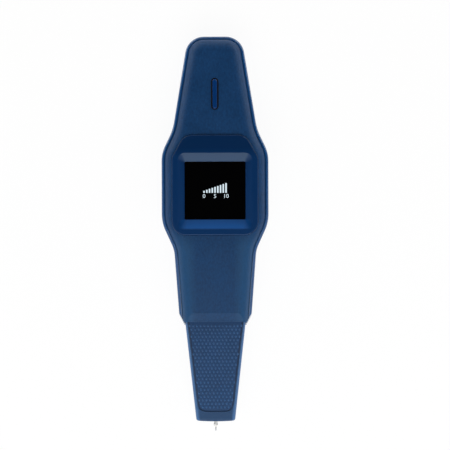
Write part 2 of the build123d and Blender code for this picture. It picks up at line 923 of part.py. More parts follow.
def make_feet():
    """Four round rubber feet, each glued into a shallow pocket of the back."""
    foot = rod(foot_diameter, 0, foot_seat_height)
    foot = fillet(foot.faces().sort_by(Axis.Z)[0].edges(), foot_edge_radius)
    return Compound(children=[Pos(x, y, 0) * foot for x, y in foot_places])


def make_case_screws():
    one = screw(case_screw_shaft, case_screw_head, case_screw_head_height, case_screw_length)
    return Compound(children=[Pos(x, y, case_screw_seat_height) * one for x, y in case_screw_places])


def make_board_screws():
    one = screw(board_screw_shaft, board_screw_head, board_screw_head_height, board_screw_length)
    turned_over = Rot(180, 0, 0) * one
    return Compound(children=[Pos(x, y, board_top) * turned_over for x, y in board_screw_places])


probe_board_top = nose_axis_height - probe_board_below_axis
probe_board_bottom = probe_board_top - probe_board_thickness
spigot_end_station = mouth_floor_station + seat_gap - spigot_length
nose_root_station = mouth_floor_station + seat_gap
tongue_end_station = spigot_end_station - tongue_board_length


def make_socket():
    """Edge socket under the main board that takes the tongue of the nose's board."""
    far = bulkhead_from_head - socket_bulkhead_gap
    near = far - socket_length
    y = at((near + far) / 2)
    body = block(socket_width, socket_length, board_underside - socket_height, board_underside, 0, y)
    slot_near = tongue_end_station - socket_gap
    slot_far = far + overrun
    slot = block(
        tongue_board_width + 2 * socket_gap,
        slot_far - slot_near,
        probe_board_bottom - socket_gap,
        probe_board_top + socket_gap + contact_height,
        0,
        at((slot_near + slot_far) / 2),
    )
    return body - slot


def nose_half_height(station):
    """Half of the nose's height at a station."""
    run = max(station - mouth_station, 0)
    return (nose_root_height - (nose_root_height - nose_tip_height) * run / nose_length) / 2


def nose_form():
    """Outside of the nose: a tapering bar with rounded edges, a straight root and a spigot."""
    past_share = overrun / nose_length
    end_width = nose_tip_width - (nose_root_width - nose_tip_width) * past_share
    end_height = nose_tip_height - (nose_root_height - nose_tip_height) * past_share
    sections = []
    for station, width, height in (
        (mouth_station, nose_root_width, nose_root_height),
        (nose_end_station + overrun, end_width, end_height),
    ):
        sections.append(cross_plane(station) * RectangleRounded(width, height, nose_corner_radius))
    taper = loft(sections, ruled=True)
    half_tip = nose_tip_width / 2
    end_y = at(nose_end_station)
    side_y = end_y + nose_end_bulge
    near_y = at(mouth_station) + overrun
    wide = nose_root_width
    arc = Edge.make_three_point_arc((-half_tip, side_y), (0, end_y), (half_tip, side_y))
    corners = [arc @ 1, (wide, side_y), (wide, near_y), (-wide, near_y), (-wide, side_y), arc @ 0]
    taper = taper & prism(Face(Wire([arc] + line_through(corners))), -overrun, crest_height)
    end_edges = taper.edges().filter_by(lambda edge: edge.center().Y < side_y + nose_end_radius / 2)
    taper = fillet(end_edges, nose_end_radius)
    root_section = (nose_root_width, nose_root_height, nose_corner_radius)
    spigot_section = (spigot_width, spigot_height, spigot_corner_radius)
    root = section_bar(*root_section, nose_root_station, mouth_station)
    spigot = section_bar(*spigot_section, spigot_end_station, nose_root_station)
    return taper + root + spigot


def pad_outline(grow=0):
    """Grip pad seen from the front: it runs from under the collar to a round foot."""
    near = at(nose_root_station + seat_gap - grow)
    foot = at(nose_end_station - pad_end_margin)
    corners = both_sides([
        (pad_foot_width / 2, foot),
        (pad_root_width / 2, at(mouth_station)),
        (pad_root_width / 2, near - grow),
    ])
    radii = [pad_corner_radius, 0, 0]
    return outline_face(corners, radii + radii[::-1], -grow)


def nose_face_slab(upper_drop, lower_drop):
    """Everything between two copies of the nose's front face."""
    stations = (nose_root_station - overrun, mouth_station, nose_end_station + overrun)
    upper = [(at(s), nose_axis_height + nose_half_height(s) - upper_drop) for s in stations]
    lower = [(at(s), nose_axis_height + nose_half_height(s) - lower_drop) for s in stations]
    return across(Face(Wire(line_through(upper + lower[::-1] + upper[:1]))))


def to_back(solid):
    """The same solid on the other side of the nose's middle plane."""
    return mirror(solid, about=Plane.XY.offset(nose_axis_height))


bush_far = nose_end_station - bush_recess
bush_near = bush_far - bush_length
carrier_far = bush_near - probe_rest_gap
carrier_near = carrier_far - carrier_length
spring_length = spring_pressed_length + probe_travel
spring_near = carrier_near - spring_length
cavity_far = spring_near - stop_wall
bore_diameter = carrier_diameter + 2 * carrier_clearance


def nose_screw_seat():
    """Station, height of the recess floor and height of the seat of the nose screws."""
    station = mouth_station + nose_screw_from_mouth
    floor = nose_axis_height - nose_half_height(station) + pad_thickness + pad_below_face
    return station, floor, floor + nose_screw_head_height + pad_below_face


def make_nose_shells():
    """The two halves of the nose, hollow behind the probe, with pad recesses and screw holes."""
    form = nose_form()
    cavity_height = nose_root_height - 2 * nose_face_wall
    cavity_width = nose_root_width - 2 * nose_side_wall
    run_share = (cavity_far - mouth_station) / nose_length
    far_width = cavity_width - (nose_root_width - nose_tip_width) * run_share
    far_height = cavity_height - (nose_root_height - nose_tip_height) * run_share
    near_end = cross_plane(mouth_station) * Rectangle(cavity_width, cavity_height)
    far_end = cross_plane(cavity_far) * Rectangle(far_width, far_height)
    cavity = loft([near_end, far_end])
    inner_width = spigot_width - 2 * spigot_wall
    inner_height = spigot_height - 2 * spigot_wall
    throat_near = spigot_end_station - overrun
    throat_far = mouth_station + overrun
    throat = section_bar(inner_width, inner_height, spigot_wall / 2, throat_near, throat_far)
    hollow = form - cavity - throat
    hollow = hollow - long_rod(bore_diameter, spring_near, bush_near, 0, nose_axis_height)
    hollow = hollow - long_rod(bush_diameter, bush_near, nose_end_station + overrun, 0, nose_axis_height)
    recess = prism(pad_outline(pad_groove), nose_axis_height, crest_height)
    recess = recess & nose_face_slab(-overrun, pad_below_face + pad_thickness)
    hollow = hollow - recess - to_back(recess)
    wide = 2 * nose_root_width
    middle = at((spigot_end_station + nose_end_station) / 2)
    long = nose_end_station - spigot_end_station + 2 * overrun
    front = hollow & block(wide, long, nose_axis_height, crest_height, 0, middle)
    rear = hollow & block(wide, long, -overrun, nose_axis_height, 0, middle)
    rail_y = at(mouth_station + board_rail_length / 2)
    for side in (-1, 1):
        rail_x = side * (probe_board_width / 2 - board_rail_inset - board_rail_width / 2)
        rail_low = nose_axis_height - cavity_height / 2 - seat_gap
        rail = block(board_rail_width, board_rail_length, rail_low, probe_board_bottom, rail_x, rail_y)
        rear = rear + rail
    station, floor, seat = nose_screw_seat()
    for side in (-1, 1):
        x = side * nose_screw_x
        rear = rear - rod(nose_screw_head + 2 * head_recess_clearance, 0, seat, x, at(station))
        loose = nose_screw_shaft + 2 * shaft_clearance
        rear = rear - rod(loose, 0, nose_axis_height + overrun, x, at(station))
        bore_top = seat + nose_screw_length + shaft_clearance
        front = front - rod(nose_screw_shaft + 2 * thread_clearance, 0, bore_top, x, at(station))
    return front, rear


def make_pads():
    pad = prism(pad_outline(), nose_axis_height, crest_height)
    pad = pad & nose_face_slab(pad_below_face, pad_below_face + pad_thickness)
    return pad, to_back(pad)


def make_nose_screws():
    station, floor, seat = nose_screw_seat()
    one = screw(nose_screw_shaft, nose_screw_head, nose_screw_head_height, nose_screw_length)
    return Compound(children=[Pos(side * nose_screw_x, at(station), seat) * one for side in (-1, 1)])


def make_probe_board():
    """Small board in the nose, with a narrower tongue that plugs into the socket."""
    far = spigot_end_station + probe_board_length
    low = probe_board_bottom
    high = probe_board_top
    board = block(probe_board_width, probe_board_length, low, high, 0, at((spigot_end_station + far) / 2))
    tongue_far = spigot_end_station + overrun
    tongue_y = at((tongue_end_station + tongue_far) / 2)
    tongue = block(tongue_board_width, tongue_far - tongue_end_station, low, high, 0, tongue_y)
    fingers = []
    for index in range(contact_count):
        x = (index - (contact_count - 1) / 2) * contact_spacing
        y = at(tongue_end_station + contact_length / 2 + socket_gap)
        fingers.append(block(contact_width, contact_length, high, high + contact_height, x, y))
    return board + tongue, Compound(children=fingers)


def make_bush():
    """Bush in the nose's end that guides the ferrule and stops the carrier."""
    hole = ferrule_bead_diameter + 2 * retract_clearance
    bush = long_rod(bush_diameter, bush_near, bush_far, 0, nose_axis_height)
    return bush - long_rod(hole, bush_near - overrun, bush_far + overrun, 0, nose_axis_height)


def turned(profile):
    """Solid turned about the nose axis from (radius, station) pairs, closed on the axis."""
    points = [(radius, at(station)) for radius, station in profile]
    closed = [(0, points[0][1])] + points + [(0, points[-1][1]), (0, points[0][1])]
    face = Face(Wire(line_through(closed)))
    return Pos(0, 0, nose_axis_height) * revolve(face, Axis.Y)


def make_probe():
    """Needle, ferrule, carrier and the sensor bead behind them."""
    tip = total_length
    needle_radius = needle_diameter / 2
    needle_start = nose_end_station - needle_buried_length
    needle = turned([
        (needle_radius, needle_start),
        (needle_radius, tip - needle_point_length),
        (needle_radius / 2, tip),
    ])
    bead_station = nose_end_station + ferrule_bead_reach
    ferrule = turned([
        (ferrule_neck_diameter / 2, carrier_far),
        (ferrule_neck_diameter / 2, nose_end_station),
        (ferrule_bead_diameter / 2, bead_station),
        (needle_radius + thread_clearance, nose_end_station + ferrule_reach),
    ])
    axis = nose_axis_height
    fit = 2 * thread_clearance
    needle_bore = long_rod(needle_diameter + fit, needle_start, tip + overrun, 0, axis)
    ferrule = ferrule - needle_bore
    well = long_rod(sensor_diameter + fit, carrier_near - overrun, needle_start, 0, axis)
    carrier = long_rod(carrier_diameter, carrier_near, carrier_far, 0, axis) - needle_bore - well
    sensor = long_rod(sensor_diameter, needle_start - sensor_length, needle_start, 0, axis)
    return needle, ferrule, carrier, sensor


def make_spring():
    """Return spring behind the carrier, one unbroken wire."""
    radius = (spring_diameter - spring_wire) / 2
    height = spring_length - spring_wire - 2 * seat_gap
    pitch = height / spring_turns
    path = Helix(pitch, height, radius)
    section = Plane(origin=path @ 0, z_dir=path % 0) * Circle(spring_wire / 2)
    coil = sweep(section, path=path, is_frenet=True)
    start_y = at(carrier_near) + spring_wire / 2 + seat_gap
    print("spring least gap", round(pitch - spring_wire, 3))
    return Pos(0, start_y, nose_axis_height) * Rot(-90, 0, 0) * coil


pieces = {}
pieces["rear_shell"] = make_rear_shell()
pieces["front_cover"] = make_front_cover()
pieces["screen_bezel"] = make_bezel()
window, gasket, panel, holder = make_display()
pieces["display_window"] = window
pieces["window_gasket"] = gasket
pieces["display_panel"] = panel
pieces["display_holder"] = holder
ribbon, plug = make_flex()
pieces["display_ribbon"] = ribbon
pieces["ribbon_connector"] = plug
key, surround, switch, plunger = make_key()
pieces["power_key"] = key
pieces["key_surround"] = surround
pieces["key_switch"] = switch
pieces["switch_plunger"] = plunger
pieces["main_board"] = make_board()
pieces["board_chips"] = make_chips()
pieces["buzzer"] = make_buzzer()
cell, tape, battery_plug, leads = make_battery()
pieces["battery"] = cell
pieces["battery_tape"] = tape
pieces["battery_connector"] = battery_plug
pieces["battery_leads"] = leads
port_shell, port_tongue = make_port()
pieces["port_shell"] = port_shell
pieces["port_tongue"] = port_tongue
plate, pin = make_touch_contact()
pieces["touch_plate"] = plate
pieces["contact_pin"] = pin
pieces["rear_feet"] = make_feet()
pieces["case_screws"] = make_case_screws()
pieces["board_screws"] = make_board_screws()
pieces["nose_socket"] = make_socket()
nose_front, nose_rear = make_nose_shells()
pieces["nose_shell_front"] = nose_front
pieces["nose_shell_rear"] = nose_rear
pad_front, pad_rear = make_pads()
pieces["grip_pad_front"] = pad_front
pieces["grip_pad_rear"] = pad_rear
pieces["nose_screws"] = make_nose_screws()
probe_board, fingers = make_probe_board()
pieces["probe_board"] = probe_board
pieces["board_fingers"] = fingers
pieces["tip_bush"] = make_bush()
needle, ferrule, carrier, sensor = make_probe()
pieces["probe_needle"] = needle
pieces["probe_ferrule"] = ferrule
pieces["probe_carrier"] = carrier
pieces["sensor_bead"] = sensor
pieces["probe_spring"] = make_spring()

for name, piece in pieces.items():
    export_step(piece, f"parts/{name}.step")
    print(name, round(piece.volume, 2))
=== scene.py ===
# %% [markdown]
# # A hand-held diamond tester, dressed for its portrait
#
# The solids of this tester come from a CAD program and are loaded here as a fixed frame: nothing
# in it is moved or reshaped. Blender adds what CAD is bad at: finishes, the studs of the grip,
# the lit figures of the display, and the light. Everything is in metres, with the probe towards
# minus Y and the display facing up.

# %% Load the frame
from math import cos, radians, sin

import bmesh
import bpy
from mathutils import Matrix, Vector


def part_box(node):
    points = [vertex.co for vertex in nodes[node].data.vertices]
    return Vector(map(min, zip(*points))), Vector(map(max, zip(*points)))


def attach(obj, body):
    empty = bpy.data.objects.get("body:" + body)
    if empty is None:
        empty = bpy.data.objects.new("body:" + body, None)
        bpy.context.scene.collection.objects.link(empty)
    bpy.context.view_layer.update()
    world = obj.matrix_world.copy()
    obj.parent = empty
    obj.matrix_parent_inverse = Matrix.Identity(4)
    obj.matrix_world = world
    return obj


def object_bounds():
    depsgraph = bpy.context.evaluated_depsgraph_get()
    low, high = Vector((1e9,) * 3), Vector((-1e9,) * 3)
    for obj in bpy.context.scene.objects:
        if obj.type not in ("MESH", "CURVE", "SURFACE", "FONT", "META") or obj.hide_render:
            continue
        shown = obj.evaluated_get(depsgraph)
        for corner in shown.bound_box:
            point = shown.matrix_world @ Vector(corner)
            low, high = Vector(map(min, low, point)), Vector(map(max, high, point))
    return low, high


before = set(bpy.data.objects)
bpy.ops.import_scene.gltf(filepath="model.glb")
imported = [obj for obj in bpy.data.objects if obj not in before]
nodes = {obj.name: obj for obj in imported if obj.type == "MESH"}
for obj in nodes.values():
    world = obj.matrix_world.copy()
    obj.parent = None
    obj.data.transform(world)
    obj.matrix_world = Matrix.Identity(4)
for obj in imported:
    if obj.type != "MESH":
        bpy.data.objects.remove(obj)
cad_low, cad_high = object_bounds()
mm = 0.001
print("loaded", len(nodes), "solids,", round((cad_high.y - cad_low.y) / mm, 1), "mm long")

# %% [markdown]
# ## The camera
#
# The photograph was taken from straight above with a long lens, which hardly narrows what is
# lower down. A camera about a metre up does the same. Its lens follows from two sizes: how wide
# the picture is at the height of the nose, and how far up the camera stands.

# %% Camera
picture_width = 200.3 * mm
camera_height = 0.95
sensor_width = 36.0
camera_x = 4.34 * mm
camera_y = 3.95 * mm
camera_turn = radians(-0.17)

nose_low, nose_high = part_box("nose_shell_front")
picture_plane = nose_low.z

camera_data = bpy.data.cameras.new("camera")
camera_data.sensor_width = sensor_width
camera_data.lens = sensor_width * camera_height / picture_width
camera = bpy.data.objects.new("camera", camera_data)
camera.location = (camera_x, camera_y, picture_plane + camera_height)
camera.rotation_euler = (0, 0, camera_turn)
bpy.context.scene.collection.objects.link(camera)
bpy.context.scene.camera = camera
bpy.context.scene.view_settings.view_transform = "Standard"
print("lens", round(camera_data.lens, 1), "mm")

# %% [markdown]
# ## Sockets that can be added up
#
# A finish is a small network of nodes. Wiring it by hand takes many lines, so this class wraps
# one socket and lets Python's own operators add the Math nodes. Any other node comes from one
# method, which sets the node up first and then fills its sockets with numbers or links.


# %% A socket as a number
class Flow:
    """One output socket of a node tree, ready for use in an expression."""

    def __init__(self, tree, socket=None):
        self.tree = tree
        self.socket = socket

    def add(self, kind, settings=None, inputs=None, output=0):
        node = self.tree.nodes.new(kind)
        for name, value in (settings or {}).items():
            if name == "stops":
                ramp = node.color_ramp.elements
                for element, (place, grey) in zip((ramp[0], ramp[1]), value):
                    element.position = place
                    element.color = (grey, grey, grey, 1)
            else:
                setattr(node, name, value)
        for name, value in (inputs or {}).items():
            self.fill(node.inputs[name], value)
        return Flow(self.tree, node.outputs[output])

    def fill(self, entry, value):
        if isinstance(value, Flow):
            self.tree.links.new(value.socket, entry)
        else:
            entry.default_value = value

    def maths(self, operation, *values):
        return self.add("ShaderNodeMath", {"operation": operation}, dict(enumerate(values)))

    def vector(self, x, y, z):
        return self.add("ShaderNodeCombineXYZ", None, {0: x, 1: y, 2: z})

    def part(self, axis):
        """One part of a vector: 0 for X, 1 for Y and 2 for Z."""
        return self.add("ShaderNodeSeparateXYZ", None, {0: self}, axis)

    def __add__(self, other):
        return self.maths("ADD", self, other)

    def __sub__(self, other):
        return self.maths("SUBTRACT", self, other)

    def __rsub__(self, other):
        return self.maths("SUBTRACT", other, self)

    def __mul__(self, other):
        return self.maths("MULTIPLY", self, other)

    def __truediv__(self, other):
        return self.maths("DIVIDE", self, other)

    __radd__ = __add__
    __rmul__ = __mul__

    def over(self, limit):
        return self.maths("GREATER_THAN", self, limit)

    def under(self, limit):
        return self.maths("LESS_THAN", self, limit)

    def mixed(self, first, second):
        """Two colours mixed by this value: the first where it is 0, the second where it is 1."""
        settings = {"data_type": "RGBA", "blend_type": "MIX"}
        return self.add("ShaderNodeMix", settings, {0: self, 6: first, 7: second}, 2)


print("sockets can be added, subtracted, multiplied and divided")

# %% [markdown]
# ## Finishes
#
# Each finish starts from one shader. The numbers that are the same all over the piece are set on
# the shader itself, and what changes over the surface is a network that reads the piece's own
# coordinates. The coordinates are in metres, so a texture's scale is how many times it repeats
# in a metre: 1200 makes grains of about 0.8 mm.


# %% Colours and a bare finish
def screen_colour(red, green, blue):
    """A colour as a screen gives it, from 0 to 255, turned into the light that it stands for."""
    parts = [value / 255 for value in (red, green, blue)]
    light = [p / 12.92 if p <= 0.04045 else ((p + 0.055) / 1.055) ** 2.4 for p in parts]
    return (*light, 1)


def shade(colour, factor):
    """The same colour, lighter or darker."""
    return (*[part * factor for part in colour[:3]], 1)


finishes = {}


class Finish:
    """A material with one shader, and the coordinates of the piece that wears it."""

    def __init__(self, name, **numbers):
        self.material = bpy.data.materials.new(name + "_finish")
        self.material.use_nodes = True
        self.tree = self.material.node_tree
        self.shader = self.tree.nodes["Principled BSDF"]
        for socket, value in numbers.items():
            self.shader.inputs[socket.replace("_", " ")].default_value = value
        self.flow = Flow(self.tree)
        self.place = self.flow.add("ShaderNodeTexCoord", output="Object")
        finishes[name] = self.material

    def feed(self, socket, value):
        self.flow.fill(self.shader.inputs[socket], value)

    def stretched(self, scale):
        """The coordinates, drawn out along some of the axes."""
        return self.flow.add("ShaderNodeMapping", inputs={"Vector": self.place, "Scale": scale})

    def noise(self, scale, detail, roughness=0.5, place=None):
        inputs = {"Vector": place or self.place, "Scale": scale, "Detail": detail}
        inputs["Roughness"] = roughness
        return self.flow.add("ShaderNodeTexNoise", None, inputs)

    def cells(self, scale, feature="F1", randomness=1.0, place=None):
        inputs = {"Vector": place or self.place, "Scale": scale, "Randomness": randomness}
        return self.flow.add("ShaderNodeTexVoronoi", {"feature": feature}, inputs)

    def ramp(self, value, low, high):
        """A value spread from 0 at the low mark to 1 at the high mark."""
        return self.flow.add("ShaderNodeValToRGB", {"stops": ((low, 0), (high, 1))}, {"Fac": value})

    def bump(self, height, distance, strength):
        """Small relief: the height is 0 to 1, and the distance is its depth in metres."""
        inputs = {"Height": height, "Distance": distance, "Strength": strength}
        self.feed("Normal", self.flow.add("ShaderNodeBump", None, inputs))

    def mottle(self, colour, spread, scale):
        """The colour with soft, slow patches a little lighter and darker."""
        patches = self.ramp(self.noise(scale, detail=3.0), 0.3, 0.7)
        self.colour = patches.mixed(shade(colour, 1 - spread), shade(colour, 1 + spread))
        self.feed("Base Color", self.colour)

    def along(self, axis):
        """How far a point lies along one axis of the piece, in metres."""
        return self.place.part(axis)

    def off_middle(self):
        """How far a point lies to either side of the piece's middle line."""
        return self.flow.maths("ABSOLUTE", self.along(0))

    def fade(self, value, start, end):
        """A value that grows evenly from 0 at the start to 1 at the end, and stays there."""
        inputs = {"Value": value, "From Min": start, "From Max": end}
        return self.flow.add("ShaderNodeMapRange", None, inputs)


print("finishes are named after the record's material slots")

# %% [markdown]
# ## The blue skins
#
# Six blues make up the outside. The front cover is a soft-touch skin with a fine leather-like
# grain, so its relief is made of rounded cells, bent by noise so that no two match. The housing
# rim is a brighter navy, harder and glossier. The bezel and the key are polished, the nose is
# satin, and the grip is a matte rubber. Each skin has a little noise in its colour, its gloss and
# its relief, because even a new moulding is never quite the same all over.

# %% Soft-touch cover with a leather grain
cover_blue = screen_colour(13, 61, 108)
cover_sheen = (0.86, 0.98, 1.0, 1)
grain_per_metre = 1250
grain_depth = 0.05 * mm
grain_bend = 0.6 * mm
pores_per_metre = 5200

cover = Finish("cover_soft_touch", IOR=1.5, Specular_IOR_Level=0.30, Specular_Tint=cover_sheen)
bend = cover.noise(700, detail=2.0)
bent = {0: grain_bend, 4: cover.place, 5: bend}
grain_place = cover.flow.add("ShaderNodeMix", {"data_type": "VECTOR"}, bent, 1)
cell = cover.cells(grain_per_metre, "SMOOTH_F1", place=grain_place)
pebble = 1 - cover.ramp(cell, 0.15, 0.85)
pores = cover.noise(pores_per_metre, detail=2.0)
cover.bump(pebble * 0.8 + pores * 0.2, grain_depth, 0.8)
patches = cover.ramp(cover.noise(95, detail=3.0), 0.3, 0.7)
drawn_out = cover.stretched((1.0, 0.45, 1.0))
streaks = cover.ramp(cover.noise(1500, detail=2.0, place=drawn_out), 0.3, 0.7)
marks = pebble * 0.3 + streaks * 0.5 + patches * 0.2
creased = marks.mixed(shade(cover_blue, 0.7), shade(cover_blue, 1.3))
cover.feed("Base Color", creased)
cover.feed("Roughness", 0.46 + 0.08 * patches)
print("grain cells", round(1 / grain_per_metre / mm, 2), "mm across")

# %% Harder skins: housing, nose, bezel and key
housing_blue = screen_colour(22, 79, 138)
nose_blue = screen_colour(22, 65, 113)
bezel_blue = screen_colour(6, 47, 93)
key_blue = screen_colour(11, 59, 120)
cool_gloss = (0.78, 0.97, 1.0, 1)
coat_blur = 0.12
fine_texture = 4200
wavy_texture = 900


def moulded(name, colour, roughness, shine, coat, texture_per_metre, texture_depth):
    """Moulded plastic: slow patches of colour, faint smears in the gloss, and a fine texture."""
    skin = Finish(name, IOR=1.5, Specular_IOR_Level=shine, Specular_Tint=cool_gloss)
    skin.shader.inputs["Coat Weight"].default_value = coat
    skin.shader.inputs["Coat Roughness"].default_value = coat_blur
    skin.mottle(colour, 0.05, 110)
    smears = skin.noise(60, detail=4.0, place=skin.stretched((1.0, 0.35, 1.0)))
    skin.feed("Roughness", roughness - 0.05 + 0.1 * smears)
    skin.bump(skin.noise(texture_per_metre, detail=3.0), texture_depth, 0.4)
    return skin


moulded("housing_satin", housing_blue, 0.28, 0.50, 0.80, fine_texture, 0.006 * mm)
nose = moulded("nose_satin", nose_blue, 0.42, 0.42, 0.05, fine_texture, 0.012 * mm)
bezel = moulded("bezel_gloss", bezel_blue, 0.26, 0.32, 0.0, wavy_texture, 0.002 * mm)
moulded("key_gloss", key_blue, 0.16, 0.20, 0.35, wavy_texture, 0.002 * mm)
print("moulded skins made, from satin to polished")

# %% Grip rubber
rubber_blue = screen_colour(18, 66, 114)
# Painted light: the studs are a paler copy of the rubber, for the light their raised tops catch.
stud_lit_blue = screen_colour(48, 94, 144)
rubber_grain_per_metre = 5200
rubber_grain_depth = 0.02 * mm


def grip_skin(name, colour, roughness):
    """Rubber with a fine grain. The studs are paler and a little smoother than the pad; their paler
    blue is painted light, for the light their raised tops catch.
    """
    rubber = Finish(name, IOR=1.5, Specular_IOR_Level=0.40)
    rubber.mottle(colour, 0.06, 130)
    grain = rubber.noise(rubber_grain_per_metre, detail=3.0, roughness=0.6)
    rubber.feed("Roughness", roughness + 0.10 * grain)
    rubber.bump(grain, rubber_grain_depth, 0.5)
    return rubber


grip = grip_skin("grip_rubber", rubber_blue, 0.46)
grip_skin("stud_rubber", stud_lit_blue, 0.40)
print(len(finishes), "blue skins made")

# %% [markdown]
# ## Paler and darker places
#
# In the photograph the borders of the nose, the slope at the foot of the bezel and the lower sides
# of the cover are paler than the rest, the brow of the bezel is darker, and a dark line runs along
# the sides of the grip pad. The lamps alone don't give that light and shade, so it is painted into
# the colours: painted highlights on the nose border, the bezel slope and the cover's lower sides,
# painted shade on the bezel's brow and in the groove along the pad. Each mask comes from how far a
# point lies from an edge, worked out from the sizes of the solids, and changes softly over a short
# distance.

# %% Painted highlight on the border of the nose
collar_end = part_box("front_cover")[0].y
nose_tip_half = 8.55 * mm
border_pale = 0.91 * mm
border_end = 1.82 * mm
border_highlight_blue = screen_colour(76, 117, 170)

nose_taper = (nose_high.x - nose_tip_half) / (collar_end - nose_low.y)
to_edge = nose_tip_half + nose_taper * (nose.along(1) - nose_low.y) - nose.off_middle()
# Painted highlight: the rounded border of the nose is painted paler towards its edge.
painted_border_highlight = nose.fade(to_edge, border_end, border_pale)
nose.feed("Base Color", painted_border_highlight.mixed(nose.colour, border_highlight_blue))
print("nose border", round(border_end / mm, 2), "mm wide")

# %% Painted light on the bezel's slope, painted shade on its brow
window_low, window_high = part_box("display_window")
window_hidden = 1.95 * mm
foot_slope = 4.4 * mm
slope_full_share = 0.82
slope_palest_share = 0.9
opening_line = 0.08 * mm
slope_flare = 2.6 * mm
slope_inset = 1.0 * mm
brow_gap = 0.13 * mm
brow_length = 4.0 * mm

opening_end = window_low.y + window_hidden
opening_half = window_high.x - window_hidden
slope_full = opening_end - foot_slope * slope_full_share
slope_palest = opening_end - foot_slope * slope_palest_share
brow_start = window_high.y + brow_gap

up_bezel = bezel.along(1)
below_opening = bezel.fade(up_bezel, opening_end + opening_line, opening_end - opening_line)
above_foot = bezel.fade(up_bezel, opening_end - foot_slope, slope_full)
width_end = opening_half + slope_flare
within_width = bezel.fade(bezel.off_middle(), width_end, opening_half - slope_inset)
on_slope = below_opening * above_foot * within_width
# Painted light: the slope at the foot of the bezel is painted 2.3 to 3.2 times lighter, palest
# towards the foot.
down_slope = bezel.fade(up_bezel, opening_end, slope_palest)
painted_slope_light = down_slope.mixed(shade(bezel_blue, 2.3), shade(bezel_blue, 3.2))
# Painted light and shade: the bezel is painted lighter below its brow and darker on the brow.
on_brow = bezel.fade(up_bezel, brow_start, brow_start + brow_length)
painted_bezel_light_and_shade = on_brow.mixed(shade(bezel_blue, 1.22), shade(bezel_blue, 0.86))
bezel.feed("Base Color", on_slope.mixed(painted_bezel_light_and_shade, painted_slope_light))
print("bezel slope", round(foot_slope / mm, 1), "mm long")

# %% Painted shade in the groove along the grip pad
pad_low, pad_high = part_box("grip_pad_front")
pad_foot_half = 7.4 * mm
line_dark = 0.3 * mm
line_end = 0.5 * mm

pad_taper = (pad_high.x - pad_foot_half) / (pad_high.y - pad_low.y)
to_side = pad_foot_half + pad_taper * (grip.along(1) - pad_low.y) - grip.off_middle()
# Painted shade: a dark line along the sides of the pad stands for the shade in the groove around
# it.
painted_groove_shade = grip.fade(to_side, line_end, line_dark)
grip.feed("Base Color", painted_groove_shade.mixed(grip.colour, shade(rubber_blue, 0.45)))
print("pad line", round(line_end / mm, 2), "mm wide")

# %% Painted light on the lower sides of the cover
side_start = 8.0 * mm
side_full = 12.0 * mm
waist_start_y = 2.0 * mm
waist_full_y = -6.0 * mm
side_strength = 0.4
side_highlight_blue = screen_colour(44, 96, 142)

# Painted light: the lower sides of the cover are painted paler, for light that the lamps don't give
# there.
at_sides = cover.fade(cover.off_middle(), side_start, side_full)
below_waist = cover.fade(cover.along(1), waist_start_y, waist_full_y)
painted_side_light = at_sides * below_waist * side_strength
cover.feed("Base Color", painted_side_light.mixed(creased, side_highlight_blue))
print("cover sides paler from", round(side_start / mm), "mm off the middle line")

# %% [markdown]
# ## Glass, metal and the parts inside
#
# The window is a dark panel with a polished face, so it only needs a low roughness and faint
# smears. Metals get fine scratches along their length. The parts inside are seldom seen, but
# each has a finish of its own, so that an opened or see-through view still looks right.

# %% Window, black plastic and metals
glass = Finish("window_glass", IOR=1.5, Base_Color=screen_colour(2, 2, 3))
fingers = glass.noise(140, detail=4.0)
glass.feed("Roughness", 0.03 + 0.05 * fingers)
glass.bump(glass.noise(220, detail=1.0), 0.0005 * mm, 0.1)

black = Finish("black_plastic", IOR=1.5)
black.mottle(screen_colour(14, 15, 19), 0.15, 240)
black.feed("Roughness", 0.36 + 0.16 * black.noise(900, detail=3.0))
black.bump(black.noise(3600, detail=2.0), 0.008 * mm, 0.4)


def metal(name, colour, roughness, scratch_scale):
    """Bare metal with fine scratches, drawn out along the object."""
    bare = Finish(name, Metallic=1.0)
    scratches = bare.noise(2600, detail=3.0, place=bare.stretched(scratch_scale))
    bare.mottle(colour, 0.05, 300)
    bare.feed("Roughness", roughness - 0.06 + 0.12 * scratches)
    bare.bump(scratches, 0.003 * mm, 0.35)


metal("steel", screen_colour(196, 198, 202), 0.27, (1.0, 0.06, 1.0))
metal("spring_steel", screen_colour(176, 178, 184), 0.24, (0.1, 1.0, 0.1))
metal("gold_contact", screen_colour(232, 190, 96), 0.24, (1.0, 0.2, 1.0))
print("window, black plastic and metals made")

# %% Foil of the battery
foil = Finish("cell_foil", Metallic=0.85)
foil.mottle(screen_colour(188, 190, 196), 0.07, 90)
wrinkles = foil.noise(170, detail=5.0, roughness=0.6)
foil.feed("Roughness", 0.28 + 0.16 * wrinkles)
foil.bump(wrinkles, 0.12 * mm, 0.5)
print("foil with soft wrinkles made")

# %% Boards, chips and soft odds and ends
board = Finish("board", IOR=1.5, Coat_Weight=0.4)
board_green = screen_colour(16, 84, 52)
weave = board.cells(700, feature="DISTANCE_TO_EDGE", randomness=0.15)
tracks = board.ramp(weave, 0.04, 0.08)
board.feed("Base Color", tracks.mixed(shade(board_green, 1.5), board_green))
board.feed("Roughness", 0.34 + 0.1 * tracks)
board.bump(tracks, 0.02 * mm, 0.3)


def plain_stuff(name, colour, roughness, spread, scale, depth):
    """A plain inner material: patches of colour, uneven gloss and relief from one noise."""
    stuff = Finish(name, IOR=1.5)
    stuff.mottle(colour, spread, scale)
    texture = stuff.noise(scale * 12, detail=3.0)
    stuff.feed("Roughness", roughness - 0.05 + 0.1 * texture)
    stuff.bump(texture, depth, 0.5)


